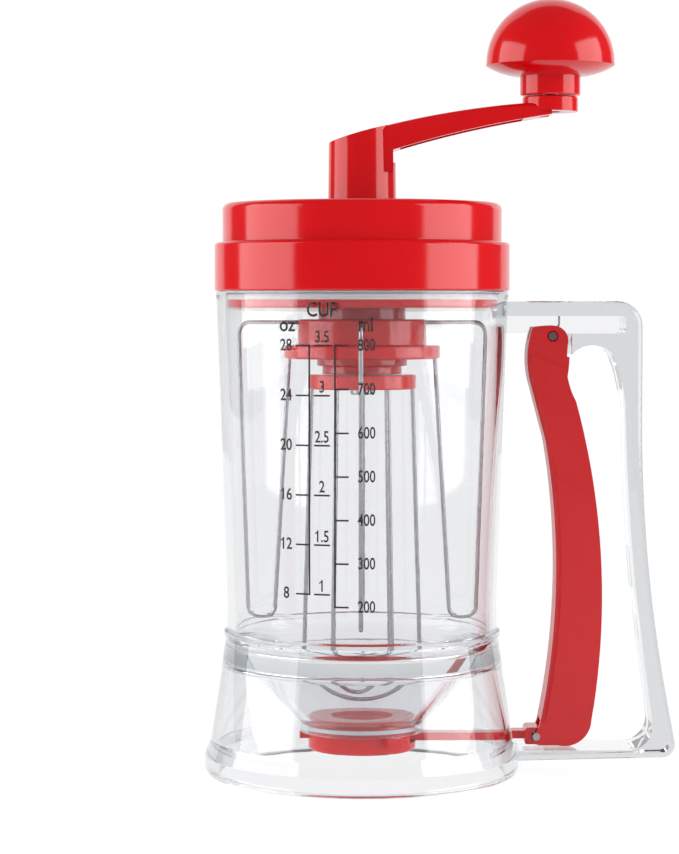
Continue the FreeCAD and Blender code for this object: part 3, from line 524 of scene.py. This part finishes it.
def words(text, x, z, height, narrow):
    """Flat printed text with its middle at (x, z). The height is that of a capital letter."""
    bpy.ops.object.select_all(action="DESELECT")
    bpy.ops.object.text_add()
    item = bpy.context.active_object
    item.data.body = text
    item.data.align_x = "CENTER"
    item.data.align_y = "CENTER"
    item.data.size = height / CAPITAL_SHARE
    item.data.resolution_u = 5
    item.data.offset = height * 0.02
    only([item])
    bpy.ops.object.convert(target="MESH")
    item = bpy.context.active_object
    item.scale = (narrow, 1, 1)
    stand_up(item, x, z)
    if text.startswith("1"):
        flag = one_flag(min(v.co.x for v in item.data.vertices), z + height / 2, height)
        only([item, flag])
        bpy.ops.object.join()
    return item


def one_flag(left, top, height):
    """The slanted stroke at the top of a printed 1, whose upright ends at (left, top)."""
    bpy.ops.object.select_all(action="DESELECT")
    bpy.ops.mesh.primitive_plane_add(size=1)
    item = bpy.context.active_object
    item.scale = (height * 0.3, height * 0.1, 1)
    item.rotation_euler = (0, 0, math.radians(42))
    bpy.ops.object.transform_apply(rotation=True, scale=True)
    return stand_up(item, left - height * 0.06, top - height * 0.13)


def on_the_jar(parts, name, depth):
    """Joins flat prints, lays them on the jar's front and gives them their thickness."""
    only(parts)
    if len(parts) > 1:
        bpy.ops.object.join()
    item = bpy.context.active_object
    item.name = name
    item.data.name = name
    wrap = item.modifiers.new("Lie on the Jar", "SHRINKWRAP")
    wrap.target = NODES["jar_body"]
    wrap.wrap_method = "PROJECT"
    wrap.use_project_x = False
    wrap.use_project_y = True
    wrap.use_project_z = False
    wrap.use_positive_direction = True
    wrap.use_negative_direction = False
    wrap.wrap_mode = "OUTSIDE_SURFACE"
    wrap.offset = depth / 2
    only([item])
    bpy.ops.object.modifier_apply(modifier=wrap.name)
    thick = item.modifiers.new("Ink", "SOLIDIFY")
    thick.thickness = depth
    thick.offset = 1
    bpy.ops.object.modifier_apply(modifier=thick.name)
    return item


class DISPENSER_OT_clear_mouldings(bpy.types.Operator):
    """Finish the jar and its grip in clear plastic"""

    bl_idname = "dispenser.clear_mouldings"
    bl_label = "Jar and Grip"

    def execute(self, context):
        finish_nodes("clear_plastic", clear_plastic(context.scene.dispenser_finish))
        return {"FINISHED"}


class DISPENSER_OT_gloss_pieces(bpy.types.Operator):
    """Finish the lid, crank, knob, drive and valve in polished red"""

    bl_idname = "dispenser.gloss_pieces"
    bl_label = "Lid, Crank and Valve"

    def execute(self, context):
        finish_nodes("red_gloss", gloss_red_plastic(context.scene.dispenser_finish))
        return {"FINISHED"}


class DISPENSER_OT_trigger(bpy.types.Operator):
    """Finish the trigger and gate in satin red"""

    bl_idname = "dispenser.trigger"
    bl_label = "Trigger and Gate"

    def execute(self, context):
        finish_nodes("red_satin", satin_red_plastic(context.scene.dispenser_finish))
        return {"FINISHED"}


class DISPENSER_OT_steel_pieces(bpy.types.Operator):
    """Finish the wires, shaft, pins, spring and screw in steel"""

    bl_idname = "dispenser.steel_pieces"
    bl_label = "Wires and Pins"

    def execute(self, context):
        finish_nodes("steel", drawn_steel(context.scene.dispenser_finish))
        return {"FINISHED"}


class DISPENSER_OT_seals(bpy.types.Operator):
    """Finish the seals in silicone and the gears in acetal"""

    bl_idname = "dispenser.seals"
    bl_label = "Seals and Gears"

    def execute(self, context):
        finish_nodes("silicone", silicone_rubber(context.scene.dispenser_finish))
        finish_nodes("white_plastic", acetal_plastic(context.scene.dispenser_finish))
        return {"FINISHED"}


class DISPENSER_OT_measuring_scale(bpy.types.Operator):
    """Print the ounce, cup and millilitre scale on the front of the jar"""

    bl_idname = "dispenser.measuring_scale"
    bl_label = "Measuring Scale"

    def execute(self, context):
        s = context.scene.dispenser_scale
        ink = scale_ink(context.scene.dispenser_finish)
        columns = {
            "ounce_scale": self.ounces(s),
            "cup_scale": self.cups(s),
            "millilitre_scale": self.millilitres(s),
        }
        for name, parts in columns.items():
            column = on_the_jar(parts, name, s.ink_depth)
            column.data.materials.clear()
            column.data.materials.append(ink)
            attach(column, "jar")
        return {"FINISHED"}

    def ounces(self, s):
        """Four to twenty-eight ounces, with marks on the line's left."""
        length = 5 * s.cup_step
        parts = [bar(s.ounce_line, s.top - length / 2, s.line, length + s.line)]
        for step in range(6):
            z = s.top - step * s.cup_step
            parts.append(bar(s.ounce_line - s.tick / 2, z, s.tick, s.line))
            parts.append(words(str(28 - 4 * step), s.ounce_line - 8.4 * MM, z, s.digit, 0.72))
        parts.append(words("oz", s.ounce_line - 8.0 * MM, s.top + 7.3 * MM, s.word, 0.8))
        return parts

    def cups(self, s):
        """Half cups, each number standing on its own mark."""
        x = s.ounce_line + 4.5 * MM
        parts = []
        for step in range(6):
            z = s.top - step * s.cup_step
            parts.append(bar(x, z, 5.7 * MM, s.line))
            amount = 3.5 - 0.5 * step
            raised = z + s.digit * 0.72
            parts.append(words(f"{amount:g}", x, raised, s.digit, 0.72))
        parts.append(words("CUP", x, s.top + 12.6 * MM, s.word, 0.8))
        return parts

    def millilitres(self, s):
        """Two to eight hundred millilitres, with marks on the line's right."""
        length = 6 * s.millilitre_step
        parts = [bar(s.millilitre_line, s.top - length / 2, s.line, length + s.line)]
        for step in range(7):
            z = s.top - step * s.millilitre_step
            parts.append(bar(s.millilitre_line + s.tick / 2, z, s.tick, s.line))
            words_x = s.millilitre_line + 11.3 * MM
            parts.append(words(str(800 - 100 * step), words_x, z, s.digit, 0.72))
        parts.append(words("ml", s.millilitre_line + 11.0 * MM, s.top + 7.3 * MM, s.word, 0.8))
        return parts


# Stage


def pale_backdrop(name, colour):
    """Pale surface that the camera and clear things see as white, with the object's shadow."""
    made, tree, shader, out, position = material_start(name)
    tone = noise(tree, position, 3.0, 2, -500, 200)
    toned(tree, shader, tone, colour, 0.985)
    shader.inputs["Roughness"].default_value = 0.9
    glow = placed(tree, "ShaderNodeEmission", 300, 300)
    glow.inputs["Color"].default_value = (1, 1, 1, 1)
    glow.inputs["Strength"].default_value = 1.03
    mix = placed(tree, "ShaderNodeMixShader", 650, 100)
    seen = seen_rays(tree, -300, 600)
    share = worked(tree, "MULTIPLY", seen, 0.9, 100, 500)
    tree.links.new(share, mix.inputs[0])
    tree.links.new(shader.outputs[0], mix.inputs[1])
    tree.links.new(glow.outputs[0], mix.inputs[2])
    tree.links.new(mix.outputs[0], out.inputs["Surface"])
    return made


def seen_rays(tree, x, y):
    """1 for a ray from the camera, or one that metal or clear plastic passes on."""
    path = placed(tree, "ShaderNodeLightPath", x, y)
    glossy = worked(
        tree, "MAXIMUM", path.outputs["Is Camera Ray"], path.outputs["Is Glossy Ray"], x + 200, y
    )
    return worked(tree, "MAXIMUM", glossy, path.outputs["Is Transmission Ray"], x + 400, y)


def soft_lamp(name, place, target, power, width, height):
    """A large rectangular lamp that faces its target."""
    bpy.ops.object.select_all(action="DESELECT")
    bpy.ops.object.light_add(type="AREA", location=place)
    lamp = bpy.context.active_object
    lamp.name = name
    lamp.data.shape = "RECTANGLE"
    lamp.data.size = width
    lamp.data.size_y = height
    lamp.data.energy = power
    lamp.rotation_euler = (Vector(target) - Vector(place)).to_track_quat("-Z", "Y").to_euler()


def room(strength, shine):
    """Even room light, which the camera sees as white and reflections show as a dim studio."""
    world = bpy.data.worlds.new("Room")
    world.use_nodes = True
    tree = world.node_tree
    tree.nodes.clear()
    out = placed(tree, "ShaderNodeOutputWorld", 900, 0)
    light = placed(tree, "ShaderNodeBackground", 300, 0)
    light.inputs["Color"].default_value = (1, 1, 1, 1)
    dim = placed(tree, "ShaderNodeBackground", 300, -200)
    dim.inputs["Color"].default_value = (1, 1, 1, 1)
    dim.inputs["Strength"].default_value = shine
    light.inputs["Strength"].default_value = strength
    white = placed(tree, "ShaderNodeBackground", 300, 200)
    white.inputs["Color"].default_value = (1, 1, 1, 1)
    white.inputs["Strength"].default_value = 1
    path = placed(tree, "ShaderNodeLightPath", -300, 400)
    seen = worked(
        tree,
        "MAXIMUM",
        path.outputs["Is Camera Ray"],
        path.outputs["Is Transmission Ray"],
        0,
        400,
    )
    lit = placed(tree, "ShaderNodeMixShader", 500, -100)
    tree.links.new(path.outputs["Is Glossy Ray"], lit.inputs[0])
    tree.links.new(light.outputs[0], lit.inputs[1])
    tree.links.new(dim.outputs[0], lit.inputs[2])
    mix = placed(tree, "ShaderNodeMixShader", 700, 0)
    tree.links.new(seen, mix.inputs[0])
    tree.links.new(lit.outputs[0], mix.inputs[1])
    tree.links.new(white.outputs[0], mix.inputs[2])
    tree.links.new(mix.outputs[0], out.inputs["Surface"])
    bpy.context.scene.world = world


class DISPENSER_OT_stage(bpy.types.Operator):
    """Set up the floor, the backdrop, the lamps and the camera"""

    bl_idname = "dispenser.stage"
    bl_label = "Stage"

    def execute(self, context):
        s = context.scene.dispenser_stage
        bpy.ops.object.select_all(action="DESELECT")
        bpy.ops.mesh.primitive_plane_add(size=s.floor)
        floor = context.active_object
        floor.name = "floor"
        floor.data.materials.append(pale_backdrop("Pale Floor", (0.96, 0.96, 0.96)))
        bpy.ops.object.select_all(action="DESELECT")
        bpy.ops.mesh.primitive_plane_add(size=s.floor)
        backdrop = context.active_object
        backdrop.name = "backdrop"
        backdrop.data.materials.append(pale_backdrop("Pale Backdrop", (0.96, 0.96, 0.96)))
        backdrop.rotation_euler = (math.radians(90), 0, 0)
        backdrop.location = (0, s.floor / 2, s.floor / 2)
        bpy.ops.object.transform_apply(location=True, rotation=True)
        middle = (0, 0, 130 * MM)
        soft_lamp("Left Lamp", (-1.25, -0.2, 0.5), middle, s.left_power, 1.4, 0.9)
        soft_lamp("Right Lamp", (1.2, -0.35, 0.5), middle, s.right_power, 1.2, 0.9)
        room(s.room_light, s.room_shine)
        bpy.ops.object.camera_add(location=s.camera_place)
        camera = context.active_object
        camera.rotation_euler = (math.radians(90) - s.camera_dip, 0, 0)
        camera.data.sensor_width = 36
        camera.data.lens = s.lens
        context.scene.camera = camera
        context.scene.view_settings.view_transform = "Standard"
        return {"FINISHED"}


class DISPENSER_PT_panel(bpy.types.Panel):
    """Lists the dispenser's pieces and settings in the sidebar"""

    bl_idname = "DISPENSER_PT_panel"
    bl_label = "Batter Dispenser"
    bl_space_type = "VIEW_3D"
    bl_region_type = "UI"
    bl_category = "Dispenser"

    def draw(self, context):
        for operator in OPERATORS:
            self.layout.operator(operator.bl_idname)
        for group in (
            context.scene.dispenser_finish,
            context.scene.dispenser_scale,
            context.scene.dispenser_stage,
        ):
            for name in group.__annotations__:
                self.layout.prop(group, name)


OPERATORS = (
    DISPENSER_OT_clear_mouldings,
    DISPENSER_OT_gloss_pieces,
    DISPENSER_OT_trigger,
    DISPENSER_OT_steel_pieces,
    DISPENSER_OT_seals,
    DISPENSER_OT_measuring_scale,
    DISPENSER_OT_stage,
)
SETTINGS = {
    "dispenser_finish": FinishSettings,
    "dispenser_scale": ScaleSettings,
    "dispenser_stage": StageSettings,
}


def register():
    for name, group in SETTINGS.items():
        bpy.utils.register_class(group)
        setattr(bpy.types.Scene, name, bpy.props.PointerProperty(type=group))
    for operator in OPERATORS:
        bpy.utils.register_class(operator)
    bpy.utils.register_class(DISPENSER_PT_panel)


def unregister():
    bpy.utils.unregister_class(DISPENSER_PT_panel)
    for operator in reversed(OPERATORS):
        bpy.utils.unregister_class(operator)
    for name, group in SETTINGS.items():
        delattr(bpy.types.Scene, name)
        bpy.utils.unregister_class(group)


def main():
    """Builds every piece and the stage."""
    register()
    bpy.ops.dispenser.clear_mouldings()
    bpy.ops.dispenser.gloss_pieces()
    bpy.ops.dispenser.trigger()
    bpy.ops.dispenser.steel_pieces()
    bpy.ops.dispenser.seals()
    bpy.ops.dispenser.measuring_scale()
    bpy.ops.dispenser.stage()


if __name__ == "__main__":
    main()
